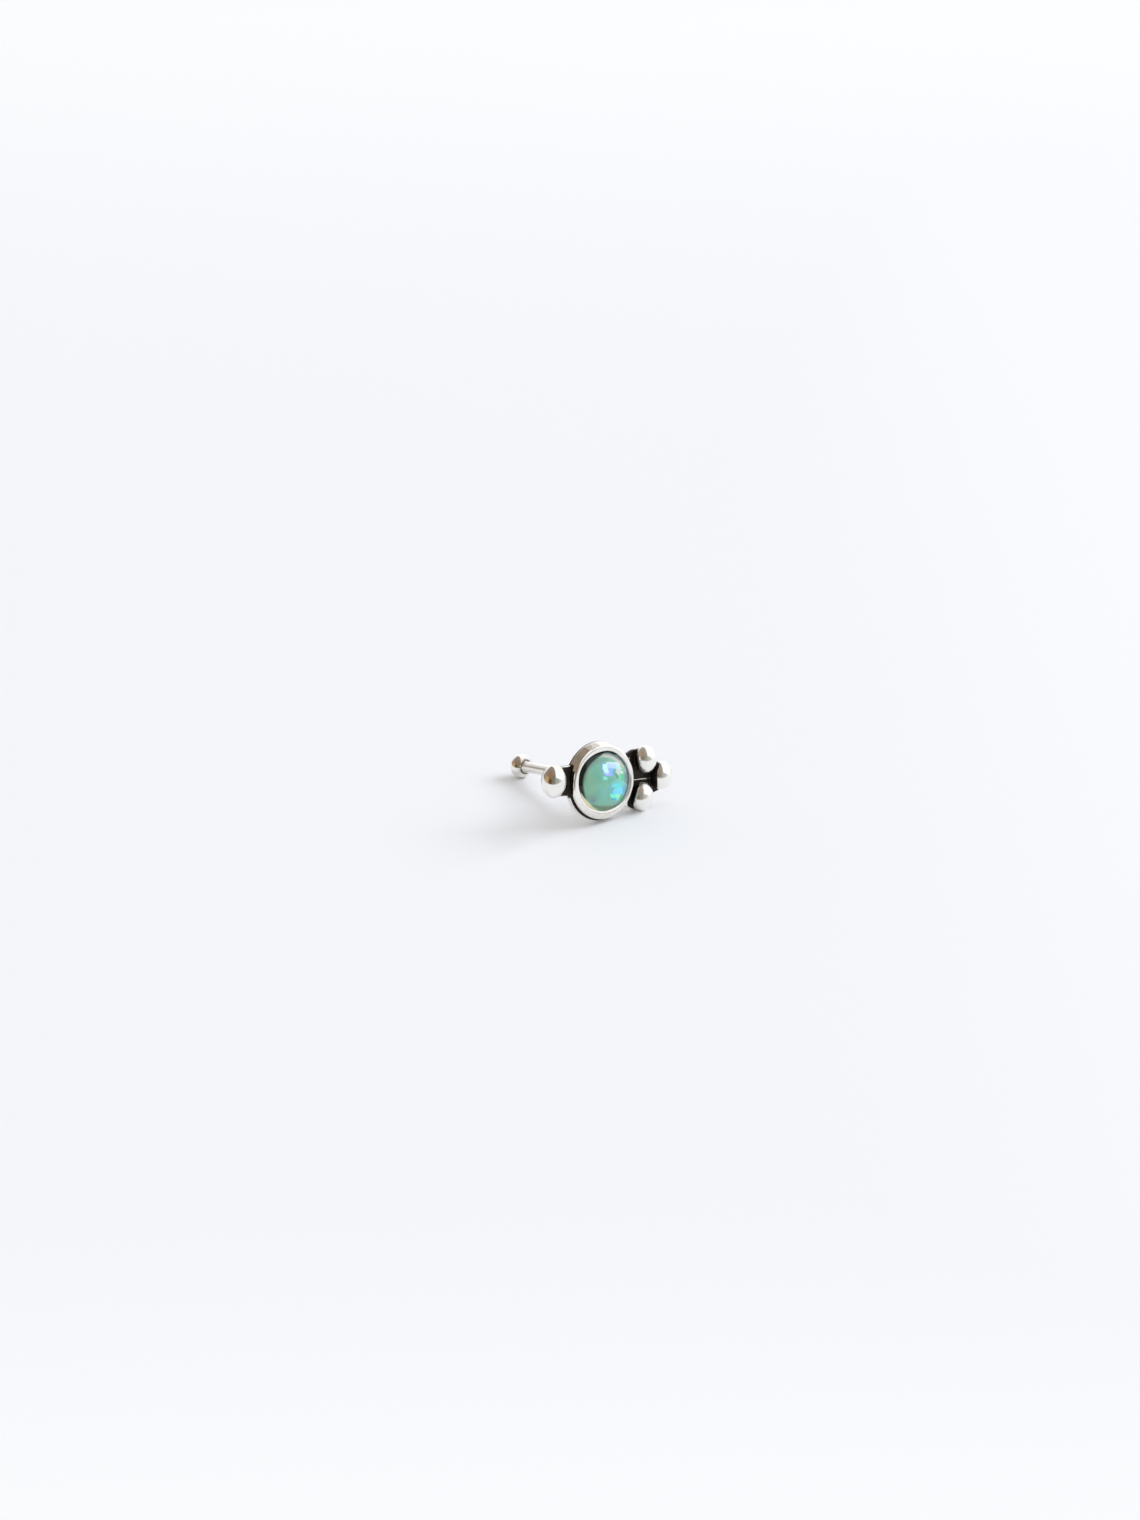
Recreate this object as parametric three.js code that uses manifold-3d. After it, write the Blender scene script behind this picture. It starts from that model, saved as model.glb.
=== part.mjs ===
// Nose stud: a small round opal in a silver bezel on a cut silver sheet, one silver granule on one
// side, three on the other, and a straight post that ends in a small ball. Millimetres, +Z up.
//
// The stud lies on a table as it rests by itself: on the sheet's lower back edge, on the lower granule
// of the three and on the post's ball end. The pieces are shaped in the stud's own frame and then
// turned into that attitude:
//   local x (u): across the face, towards the three granules
//   local y (v): up the face
//   local z (w): out of the face; the sheet's flat back is w = 0 and the post runs to -w
import * as THREE from 'three';
import { mergeVertices } from 'three/addons/utils/BufferGeometryUtils.js';
import Module from 'manifold-3d';

// ---- driving dimensions (mm) -----------------------------------------------------------------
const SHEET = { radius: 1.907, thickness: 0.25, tabThickness: 0.24, edge: 0.06 }; // round backing sheet, its tabs and its rounded back edge
const BEZEL = { wallRadius: 1.805, height: 0.605, lipRadius: 1.425 }; // collar that holds the stone
const OVAL = { stretch: 0.06, inner: 1.45, outer: 1.8 };              // the opening is a little wider than tall
const CUP = { radius: 1.555, floor: 0.24 };                           // hollow for the stone
const STONE = { girdle: 1.52, base: 0.27, apex: 0.98, domeRadius: 1.39, domeStart: 0.5 };
// granules: centre, then half of the size across, along and out of the face, and how far the long way leans
const GRANULES = [
  { u: -2.8, v: 0.094, w: 0.34, across: 0.6, along: 0.79, deep: 0.58, lean: 0 },      // single granule
  { u: 2.56, v: 1.001, w: 0.44, across: 0.53, along: 0.68, deep: 0.53, lean: 10 },    // upper of the three
  { u: 2.44, v: -0.795, w: 0.44, across: 0.55, along: 0.7, deep: 0.53, lean: -12 },   // lower of the three: it touches the table
  { u: 3.556, v: 0.191, w: 0.44, across: 0.54, along: 0.69, deep: 0.53, lean: 0 },    // tip
];
const POST = { radius: 0.28, length: 6.08, collarRadius: 0.43, collarHeight: 0.18 }; // length: sheet to ball centre
const BALL = { radius: 0.59, half: 0.46 };   // ball end, a little flattened along the post
const SEGMENTS = { cup: 60, granule: 26, granuleRows: 15, post: 24, stone: 48, dome: 7 };

// outline of the sheet beside the bezel, under the three granules
const CLUSTER_OUTLINE = [
  [0.9, 1.25], [1.62, 1.4], [1.98, 1.49], [2.5, 1.5], [2.9, 1.12], [3.18, 0.86], [3.62, 0.8],
  [3.92, 0.5], [3.99, -0.1], [3.88, -0.4], [3.66, -0.55], [3.2, -0.74], [2.95, -0.98],
  [2.72, -1.28], [2.3, -1.45], [1.95, -1.4], [1.62, -1.26], [0.9, -1.15],
];
// outline of the sheet under the single granule: two straight flanks and a round end
const TAB = { top: 0.74, bottom: -0.66, endAcross: 0.5, endAlong: 0.66 };

// ---- the attitude at rest ---------------------------------------------------------------------
// A direction (a, c, b) measured along a granule's own three axes, times its half sizes: the length
// is how far the granule reaches in that direction.
function inGranule(g, a, c, b) {
  const t = THREE.MathUtils.degToRad(g.lean);
  const x = a * Math.cos(t) + c * Math.sin(t);
  const y = c * Math.cos(t) - a * Math.sin(t);
  return new THREE.Vector3(x * g.across, y * g.along, b * g.deep);
}

// The upward direction, in local axes, that brings three points to one level: the sheet's back rim,
// the lower granule and the ball end.
function restUp() {
  const g = GRANULES[2];
  const rise = (a, b) => {
    const c = Math.sqrt(1 - a * a - b * b);
    const rim = SHEET.radius * Math.hypot(a, c) - SHEET.edge * b;
    const granule = inGranule(g, a, c, b).length() - (a * g.u + c * g.v + b * g.w);
    const ball = Math.sqrt(BALL.radius ** 2 * (a * a + c * c) + BALL.half ** 2 * b * b) + POST.length * b;
    return [rim - granule, rim - ball];
  };
  let a = -0.2;
  let b = 0.2;
  for (let i = 0; i < 20; i++) {
    const d = 1e-6;
    const f = rise(a, b);
    const fa = rise(a + d, b);
    const fb = rise(a, b + d);
    const j = [(fa[0] - f[0]) / d, (fb[0] - f[0]) / d, (fa[1] - f[1]) / d, (fb[1] - f[1]) / d];
    const det = j[0] * j[3] - j[1] * j[2];
    a -= (j[3] * f[0] - j[1] * f[1]) / det;
    b -= (j[0] * f[1] - j[2] * f[0]) / det;
  }
  return new THREE.Vector3(a, Math.sqrt(1 - a * a - b * b), b);
}
const UP = restUp();

// ---- joining and cutting ------------------------------------------------------------------------
const wasm = await Module();
wasm.setup();

function toSolid(geometry) {
  const bare = geometry.clone();
  bare.deleteAttribute('normal');
  bare.deleteAttribute('uv');
  const merged = mergeVertices(bare, 1e-5);
  const index = merged.index.array;
  const tris = [];
  for (let i = 0; i < index.length; i += 3) {
    const [p, q, r] = [index[i], index[i + 1], index[i + 2]];
    if (p !== q && q !== r && r !== p) tris.push(p, q, r);
  }
  return new wasm.Manifold(new wasm.Mesh({
    numProp: 3,
    vertProperties: new Float32Array(merged.attributes.position.array),
    triVerts: new Uint32Array(tris),
  }));
}

function toGeometry(solid) {
  const mesh = solid.getMesh();
  const geometry = new THREE.BufferGeometry();
  geometry.setAttribute('position', new THREE.BufferAttribute(new Float32Array(mesh.vertProperties), 3));
  geometry.setIndex(new THREE.BufferAttribute(new Uint32Array(mesh.triVerts), 1));
  geometry.computeVertexNormals();
  return geometry;
}

// ---- shapes -------------------------------------------------------------------------------------
// A solid of revolution about w from a profile of [radius, w] pairs, given from the lower end of the
// axis outwards and up, with one of its vertices on the side that faces the table.
function turned(profile, segments) {
  const points = profile.map(([r, w]) => new THREE.Vector2(r, w));
  const lathe = new THREE.LatheGeometry(points, segments);
  lathe.rotateX(Math.PI / 2);
  lathe.rotateZ(Math.atan2(-UP.y, -UP.x) + Math.PI / 2);
  return lathe;
}

// Widens a round opening into a slightly oval one, fading out towards the wall.
function oval(geometry) {
  const position = geometry.attributes.position;
  for (let i = 0; i < position.count; i++) {
    const r = Math.hypot(position.getX(i), position.getY(i));
    const t = Math.min(1, Math.max(0, (OVAL.outer - r) / (OVAL.outer - OVAL.inner)));
    const k = 1 + OVAL.stretch * t * t * (3 - 2 * t);
    position.setX(i, position.getX(i) * k);
  }
  return geometry;
}

function extruded(shape, from, to) {
  const geometry = new THREE.ExtrudeGeometry(shape, { depth: to - from, bevelEnabled: false, curveSegments: 10 });
  geometry.translate(0, 0, from);
  return geometry;
}

function outlineShape(points, rounding) {
  const shape = new THREE.Shape();
  const n = points.length;
  const at = (i) => new THREE.Vector2(...points[(i + n) % n]);
  for (let i = 0; i < n; i++) {
    const p = at(i);
    const inward = at(i - 1).sub(p);
    const outward = at(i + 1).sub(p);
    const k = Math.min(rounding, inward.length() / 3, outward.length() / 3);
    const a = p.clone().addScaledVector(inward.normalize(), k);
    const b = p.clone().addScaledVector(outward.normalize(), k);
    if (i === 0) shape.moveTo(a.x, a.y);
    else shape.lineTo(a.x, a.y);
    shape.lineTo(b.x, b.y);
  }
  shape.closePath();
  return shape;
}

// round sheet and bezel wall in one turned cup, open towards the stone
const cup = oval(turned([
  [0, 0],
  [SHEET.radius - 0.05, 0],
  [SHEET.radius - 0.012, 0.02],
  [SHEET.radius, SHEET.edge],
  [SHEET.radius, SHEET.thickness - 0.05],
  [SHEET.radius - 0.03, SHEET.thickness],
  [BEZEL.wallRadius - 0.02, SHEET.thickness + 0.02],
  [BEZEL.wallRadius - 0.01, SHEET.thickness + 0.08],
  [BEZEL.wallRadius, 0.4],
  [BEZEL.wallRadius - 0.01, 0.48],
  [1.755, 0.54],
  [1.69, 0.58],
  [1.59, BEZEL.height],
  [1.5, BEZEL.height - 0.005],
  [BEZEL.lipRadius + 0.02, 0.575],
  [BEZEL.lipRadius, 0.54],
  [BEZEL.lipRadius + 0.015, 0.505],
  [CUP.radius, 0.45],
  [CUP.radius, CUP.floor],
  [0, CUP.floor],
], SEGMENTS.cup));

const cluster = extruded(outlineShape(CLUSTER_OUTLINE, 0.12), 0, SHEET.tabThickness);

const single = GRANULES[0];
const tabShape = new THREE.Shape();
tabShape.moveTo(-1.1, TAB.bottom - 0.2);
tabShape.lineTo(-1.1, TAB.top + 0.25);
tabShape.lineTo(-1.72, TAB.top + 0.06);
tabShape.lineTo(single.u + 0.35, TAB.top);
tabShape.absellipse(single.u, single.v, TAB.endAcross, TAB.endAlong, Math.PI * 0.52, Math.PI * 1.46, false);
tabShape.lineTo(single.u + 0.35, TAB.bottom);
tabShape.lineTo(-1.78, TAB.bottom - 0.04);
tabShape.closePath();
const tab = extruded(tabShape, 0, SHEET.tabThickness);

// granules: slightly oval grains with a pole at the table side, cut level with the sheet's flat back
const sheetBack = new THREE.BoxGeometry(12, 8, 4);
sheetBack.translate(0, 0, -2);
function granule(g) {
  const grain = new THREE.SphereGeometry(1, SEGMENTS.granule, SEGMENTS.granuleRows);
  const pole = inGranule(g, UP.x, UP.y, UP.z).normalize();
  grain.applyQuaternion(new THREE.Quaternion().setFromUnitVectors(new THREE.Vector3(0, 1, 0), pole));
  grain.scale(g.across, g.along, g.deep);
  grain.rotateZ(THREE.MathUtils.degToRad(g.lean));
  grain.translate(g.u, g.v, g.w);
  return grain;
}

// post with its soldered collar at the sheet and its ball end, turned as one
const neck = BALL.half * Math.sqrt(1 - (POST.radius / BALL.radius) ** 2);
const ballProfile = [];
for (let i = 0; i <= 9; i++) {
  const from = -Math.PI / 2;
  const to = Math.asin(neck / BALL.half);
  const t = from + ((to - from) * i) / 9;
  ballProfile.push([i === 0 ? 0 : BALL.radius * Math.cos(t), -POST.length + BALL.half * Math.sin(t)]);
}
const post = turned([
  ...ballProfile,
  [POST.radius, -POST.collarHeight - 0.02],
  [POST.radius + 0.015, -0.13],
  [POST.radius + 0.05, -0.07],
  [POST.radius + 0.095, -0.03],
  [POST.collarRadius, 0],
  [POST.collarRadius, 0.12],
  [0, 0.12],
], SEGMENTS.post);

// stone: flat base, short girdle that sits under the lip, low dome that rises through it
const domeProfile = [];
const domeRise = STONE.apex - STONE.domeStart;
const domeCurve = (STONE.domeRadius ** 2 + domeRise ** 2) / (2 * domeRise);
for (let i = 0; i <= SEGMENTS.dome; i++) {
  const a = Math.asin(STONE.domeRadius / domeCurve) * (1 - i / SEGMENTS.dome);
  domeProfile.push([i === SEGMENTS.dome ? 0 : domeCurve * Math.sin(a), STONE.apex - domeCurve * (1 - Math.cos(a))]);
}
const stone = oval(turned([
  [0, STONE.base],
  [STONE.girdle - 0.03, STONE.base],
  [STONE.girdle, STONE.base + 0.03],
  [STONE.girdle, 0.395],
  [STONE.girdle - 0.035, 0.435],
  [STONE.domeRadius + 0.012, 0.473],
  ...domeProfile,
], SEGMENTS.stone));

// ---- the soldered silver, as one solid ------------------------------------------------------------
let front = toSolid(cup).add(toSolid(cluster).subtract(toSolid(oval(turned([
  [0, 0.1], [1.7, 0.1], [1.7, 1], [0, 1],
], SEGMENTS.cup))))).add(toSolid(tab));
for (const g of GRANULES) front = front.add(toSolid(granule(g)).subtract(toSolid(sheetBack)));
const silverGeometry = toGeometry(front.add(toSolid(post)));
const stoneGeometry = toGeometry(toSolid(stone));

// ---- placing: local axes to the resting attitude, bottom centre of the whole at the origin ---------
const outOfFace = new THREE.Vector3(0, 0, 1);
const back = outOfFace.clone().addScaledVector(UP, -outOfFace.dot(UP)).normalize().negate(); // row +Y
const right = back.clone().cross(UP);                                                         // row +X
const attitude = new THREE.Matrix4().makeBasis(right, back, UP).transpose();

for (const geometry of [silverGeometry, stoneGeometry]) geometry.applyMatrix4(attitude);
silverGeometry.computeBoundingBox();
stoneGeometry.computeBoundingBox();
const bounds = silverGeometry.boundingBox.clone().union(stoneGeometry.boundingBox);
const centre = bounds.getCenter(new THREE.Vector3());
for (const geometry of [silverGeometry, stoneGeometry]) geometry.translate(-centre.x, -centre.y, -bounds.min.z);

// ---- the two pieces --------------------------------------------------------------------------------
const silver = new THREE.MeshStandardMaterial({ color: 0xc9c6bf, roughness: 0.22, metalness: 1 });
const opal = new THREE.MeshStandardMaterial({ color: 0x80b9a5, roughness: 0.08, metalness: 0 });

const silverSetting = new THREE.Mesh(silverGeometry, silver);
silverSetting.name = 'silver_setting';
const opalStone = new THREE.Mesh(stoneGeometry, opal);
opalStone.name = 'opal_stone';

const noseStud = new THREE.Group();
noseStud.name = 'nose_stud';
noseStud.add(silverSetting, opalStone);

export default noseStud;
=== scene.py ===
"""Nose stud: a small round opal in a silver bezel, one silver granule on its left, three on its right
on a blackened sheet, and a straight post that ends in a small ball. It lies on a pale surface."""

import math

import bpy
import numpy as np
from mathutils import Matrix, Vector


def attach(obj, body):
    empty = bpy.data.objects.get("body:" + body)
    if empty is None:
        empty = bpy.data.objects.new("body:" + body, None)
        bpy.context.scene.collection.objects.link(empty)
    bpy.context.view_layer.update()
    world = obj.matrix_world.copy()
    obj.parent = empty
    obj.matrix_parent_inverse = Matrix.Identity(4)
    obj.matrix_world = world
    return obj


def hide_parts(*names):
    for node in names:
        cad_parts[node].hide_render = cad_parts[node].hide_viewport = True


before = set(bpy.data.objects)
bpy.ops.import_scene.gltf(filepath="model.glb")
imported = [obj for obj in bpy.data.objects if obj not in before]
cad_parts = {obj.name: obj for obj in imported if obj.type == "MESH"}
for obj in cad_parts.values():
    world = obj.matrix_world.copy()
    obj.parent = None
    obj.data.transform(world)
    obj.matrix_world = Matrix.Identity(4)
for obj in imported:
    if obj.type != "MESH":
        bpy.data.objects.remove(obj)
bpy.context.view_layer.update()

MM = 0.001

# ------------------------------------------------------------------------------------------------
# The stud's own axes in the row frame: u across the face, v up the face, w out of the face.
# The sheet's flat back is w = 0 and the post runs to -w. Lengths are millimetres.
# ------------------------------------------------------------------------------------------------
SHEET_R, SHEET_T, TAB_T = 1.907, 0.25, 0.24
GRANULES = [  # u, v, w, half size across, along and out of the face, lean of the long way (degrees)
    (-2.8, 0.094, 0.34, 0.6, 0.79, 0.58, 0),
    (2.56, 1.001, 0.44, 0.53, 0.68, 0.53, 10),
    (2.44, -0.795, 0.44, 0.55, 0.7, 0.53, -12),
    (3.556, 0.191, 0.44, 0.54, 0.69, 0.53, 0),
]
POST_R, POST_L = 0.28, 6.08
BALL_R, BALL_HALF = 0.59, 0.46
DOME_R, DOME_START, DOME_APEX = 1.39, 0.5, 0.98
OVAL, OVAL_IN, OVAL_OUT = 0.06, 1.45, 1.8

# rows: the row frame's axes in (u, v, w); then the place of u = v = w = 0
AXES = np.array([
    [0.9765220019944453, 0.21541768641585773, 0.0],
    [-0.044912898546744004, 0.2035971805934839, -0.9780240383541268],
    [-0.21068367560134005, 0.9550619919322638, 0.2084921590887432],
])
ORIGIN = np.array([-0.3687278, -2.5879447, 1.8525829])


# ------------------------------------------------------------------------------------------------
# signed distances
# ------------------------------------------------------------------------------------------------
def smin(a, b, k):
    h = np.clip(0.5 + 0.5 * (b - a) / k, 0, 1)
    return b * (1 - h) + a * h - k * h * (1 - h)


def smax(a, b, k):
    return -smin(-a, -b, k)


def smooth(x, lo, hi):
    t = np.clip((x - lo) / (hi - lo), 0, 1)
    return t * t * (3 - 2 * t)


def bump_deg(th, lo, hi, soft):
    """1 for angles between lo and hi degrees, fading to 0 over soft degrees on both sides."""
    mid, half = (lo + hi) / 2, (hi - lo) / 2
    d = np.abs((np.degrees(th) - mid + 180) % 360 - 180)
    return 1 - smooth(d, half - soft / 2, half + soft / 2)


def rounded(points, k, steps=4):
    """A closed outline with each corner drawn as a short curve that starts k before it and ends k after it."""
    out = []
    n = len(points)
    for i in range(n):
        p = np.array(points[i][:2], float)
        kk = points[i][2] if len(points[i]) > 2 else k
        a = np.array(points[i - 1][:2], float) - p
        b = np.array(points[(i + 1) % n][:2], float) - p
        la, lb = np.linalg.norm(a), np.linalg.norm(b)
        r = min(kk, la * 0.48, lb * 0.48)
        p0, p2 = p + a / la * r, p + b / lb * r
        for s in range(steps + 1):
            t = s / steps
            out.append((1 - t) ** 2 * p0 + 2 * t * (1 - t) * p + t * t * p2)
    return np.array(out)


def sd_outline(x, y, pts):
    d = np.full(x.shape, 1e9)
    inside = np.zeros(x.shape, bool)
    n = len(pts)
    for i in range(n):
        ax, ay = pts[i]
        bx, by = pts[(i + 1) % n]
        ex, ey = bx - ax, by - ay
        ll = ex * ex + ey * ey
        if ll < 1e-12:
            continue
        wx, wy = x - ax, y - ay
        t = np.clip((wx * ex + wy * ey) / ll, 0, 1)
        d = np.minimum(d, (wx - ex * t) ** 2 + (wy - ey * t) ** 2)
        cross = ex * wy - ey * wx
        inside ^= ((ay <= y) & (by > y) & (cross > 0)) | ((ay > y) & (by <= y) & (cross < 0))
    return np.where(inside, -1, 1) * np.sqrt(d)


def spline(points, steps=7):
    """A closed cubic B-spline. Its corners are sharp only where control points are repeated or close."""
    p = np.array(points, float)
    n = len(p)
    t = (np.arange(steps) / steps)[:, None]
    out = []
    for i in range(n):
        a, b, c, d = (p[(i + k) % n] for k in range(4))
        out.append(((1 - t) ** 3 * a + (3 * t**3 - 6 * t**2 + 4) * b + (-3 * t**3 + 3 * t**2 + 3 * t + 1) * c + t**3 * d) / 6)
    return np.concatenate(out)


LIP = [
    (1.778, 0.572), (1.748, 0.594), (1.70, 0.602), (1.62, 0.609), (1.52, 0.607), (1.452, 0.592), (1.418, 0.548),
    (1.424, 0.48), (1.436, 0.425), (1.47, 0.395), (1.53, 0.385), (1.556, 0.37), (1.556, 0.34),
    (1.555, 0.27), (1.552, 0.243), (1.53, 0.24), (1.4, 0.24), (0.5, 0.24), (-0.5, 0.24), (-0.7, 0.24),
    (-0.7, 0.0), (-0.5, 0.0), (1.7, 0.0), (1.84, 0.0), (1.895, 0.003), (1.906, 0.03), (SHEET_R, 0.07),
]
# the cup's section where a groove parts the wall from the round sheet, and where solder fills it
GROOVED = spline(LIP + [
    (SHEET_R, 0.15), (1.905, 0.225), (1.89, 0.247), (1.86, 0.254), (1.82, 0.262), (1.794, 0.268),
    (1.788, 0.29), (1.796, 0.335), (1.806, 0.40), (1.808, 0.46), (1.803, 0.53),
])
FILLED = spline(LIP + [
    (SHEET_R, 0.12), (1.903, 0.17), (1.888, 0.225), (1.868, 0.29), (1.848, 0.355), (1.828, 0.42),
    (1.814, 0.47), (1.802, 0.53),
])
CLUSTER = rounded(
    [
        (0.9, 1.10), (1.5, 1.20), (1.93, 1.44), (2.5, 1.48), (2.9, 1.12), (3.18, 0.86), (3.62, 0.8),
        (3.92, 0.5), (3.99, -0.1), (3.88, -0.4), (3.66, -0.55), (3.2, -0.74), (2.95, -0.98),
        (2.72, -1.28), (2.3, -1.45), (1.95, -1.4), (1.62, -1.26), (0.9, -1.15),
    ],
    0.12,
)
SINGLE = GRANULES[0]
TAB_END = [
    (SINGLE[0] + 0.5 * math.cos(t), SINGLE[1] + 0.66 * math.sin(t))
    for t in np.linspace(math.radians(94), math.radians(263), 15)
]
TAB = rounded(
    [(-1.1, -0.86), (-1.1, 0.99), (-1.72, 0.80), (SINGLE[0] + 0.35, 0.74)] + TAB_END
    + [(SINGLE[0] + 0.35, -0.66), (-1.78, -0.70)],
    0.08,
)
SEAM = (2.05, -0.02, 3.0, 0.05)  # a thin bare ridge of solder on the sheet between the granules

# the cup's two sections as tables of signed distance, read by linear interpolation
TABLE_STEP, TABLE_R0, TABLE_W0 = 0.005, 1.15, -0.25
_tr, _tw = np.meshgrid(TABLE_R0 + TABLE_STEP * np.arange(241), TABLE_W0 + TABLE_STEP * np.arange(241), indexing="ij")
TABLES = [sd_outline(_tr, _tw, outline) for outline in (GROOVED, FILLED)]


def section(table, r, w):
    """Signed distance to a section of the cup. Outside the table it is only roughly right, which is enough there."""
    x = (r - TABLE_R0) / TABLE_STEP
    y = (w - TABLE_W0) / TABLE_STEP
    cx, cy = np.clip(x, 0, 239.999), np.clip(y, 0, 239.999)
    i, j = cx.astype(int), cy.astype(int)
    fx, fy = cx - i, cy - j
    d = (table[i, j] * (1 - fx) + table[i + 1, j] * fx) * (1 - fy) + (table[i, j + 1] * (1 - fx) + table[i + 1, j + 1] * fx) * fy
    beyond = np.hypot(np.maximum(x - cx, 0), y - cy) * TABLE_STEP
    # nearer the axis the section is only the flat sheet
    flat = np.abs(w - 0.12) - 0.12
    return np.where(x < 0, flat, d + beyond)


_rng = np.random.default_rng(7)
WAVES = [(_rng.normal(size=3), _rng.uniform(0, 6.28)) for _ in range(14)]


def waviness(p, length, first, count):
    """A smooth random field of about unit size whose waves are about this long."""
    s = np.zeros(p.shape[0])
    for d, phase in WAVES[first : first + count]:
        s += np.sin(p @ (d / np.linalg.norm(d)) * (2 * math.pi / length) + phase)
    return s / math.sqrt(count)


def slab(d2, w, lo, hi, r):
    dz = np.abs(w - (lo + hi) / 2) - (hi - lo) / 2 + r
    d2 = d2 + r
    return np.minimum(np.maximum(d2, dz), 0) + np.hypot(np.maximum(d2, 0), np.maximum(dz, 0)) - r


def cup_radius(p):
    """The radius in the round, unstretched cup of a point of the slightly oval one."""
    u, v = p[:, 0], p[:, 1]
    r = np.hypot(u, v)
    for _ in range(3):
        r = np.hypot(u / (1 + OVAL * smooth(OVAL_OUT - r, 0, OVAL_OUT - OVAL_IN)), v)
    return r


# how far the lip's edge lies outside a true oval, by the angle round the face
_at = np.arange(360.0)
_edge = np.interp(
    _at,
    [0, 20, 60, 70, 80, 90, 100, 117, 130, 150, 162, 172, 182, 195, 211, 233, 250, 270, 290, 300, 315, 330, 345, 360],
    [0.05, 0.045, 0.045, 0.07, 0.06, 0.045, 0.022, 0.005, 0.015, 0.038, 0.03, -0.01, -0.025, -0.04, -0.05, -0.05,
     -0.04, -0.035, -0.02, 0.01, 0.05, 0.085, 0.07, 0.05],
)
_blur = np.exp(-0.5 * (np.minimum(_at, 360 - _at) / 7) ** 2)
_edge = np.real(np.fft.ifft(np.fft.fft(_edge) * np.fft.fft(_blur / _blur.sum())))


def lip_shift(th):
    return np.interp(np.degrees(th) % 360, _at, _edge, period=360)


def in_granule(p, g):
    """Coordinates along the granule's own axes, in units of its half sizes."""
    gu, gv, gw, a, b, c, lean = g
    t = math.radians(lean)
    x, y = p[:, 0] - gu, p[:, 1] - gv
    return np.stack([(x * math.cos(t) + y * math.sin(t)) / a, (y * math.cos(t) - x * math.sin(t)) / b, (p[:, 2] - gw) / c], 1)


def sd_granule(p, g):
    q = in_granule(p, g)
    k0 = np.linalg.norm(q, axis=1)
    k1 = np.linalg.norm(q / np.array(g[3:6]), axis=1)
    return k0 * (k0 - 1) / np.maximum(k1, 1e-6)


def silver(p):
    """Signed distance to the soldered front of the stud, without its post."""
    u, v, w = p[:, 0], p[:, 1], p[:, 2]
    r = cup_radius(p)
    th = np.arctan2(v, u)
    # the lip is burnished over by hand: its opening bulges at the upper left and is never quite even
    inner = 1 - smooth(r, 1.43, 1.78)
    rr = r - inner * smooth(w, 0.30, 0.50) * (lip_shift(th) + 0.003 * np.sin(9 * th + 1.9))
    ww = w - smooth(w, 0.35, 0.6) * (0.010 * np.sin(2 * th + 2.2) + 0.004 * np.sin(7 * th + 0.3))
    fill = bump_deg(th, 48, 178, 30)
    cup = section(TABLES[0], rr, ww) * (1 - fill) + section(TABLES[1], rr, ww) * fill + 0.003 * waviness(p, 1.3, 0, 5)
    cluster = slab(sd_outline(u, v, CLUSTER), w, 0.0, TAB_T, 0.04)
    # the hollow for the stone stays clear of the sheet
    cluster = np.maximum(cluster, -(r - 1.68))
    tab = slab(sd_outline(u, v, TAB), w, 0.0, TAB_T, 0.04)
    tab = np.maximum(tab, -(r - 1.68))
    sheet = np.minimum(cluster, tab) + 0.003 * waviness(p, 0.8, 5, 4)
    ax, ay, bx, by = SEAM
    t = np.clip(((u - ax) * (bx - ax) + (v - ay) * (by - ay)) / ((bx - ax) ** 2 + (by - ay) ** 2), 0, 1)
    seam = np.sqrt((u - ax - t * (bx - ax)) ** 2 + (v - ay - t * (by - ay)) ** 2 + (w - TAB_T + 0.015) ** 2) - 0.04
    sheet = smin(sheet, seam, 0.03)
    body = smin(cup, sheet, 0.05)
    for i, g in enumerate(GRANULES):
        d = sd_granule(p, g) + 0.003 * waviness(p + i * 1.7, 1.3, 9, 4)
        d = smax(d, -w, 0.05)
        body = smin(body, d, 0.08)
    return np.maximum(body, -w)  # the back is filed flat


def gradient(f, p, e=0.004):
    k = np.array([[1, -1, -1], [-1, -1, 1], [-1, 1, -1], [1, 1, 1]], float)
    g = np.zeros_like(p)
    for row in k:
        g += row * f(p + row * e)[:, None]
    return g / (4 * e)


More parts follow.
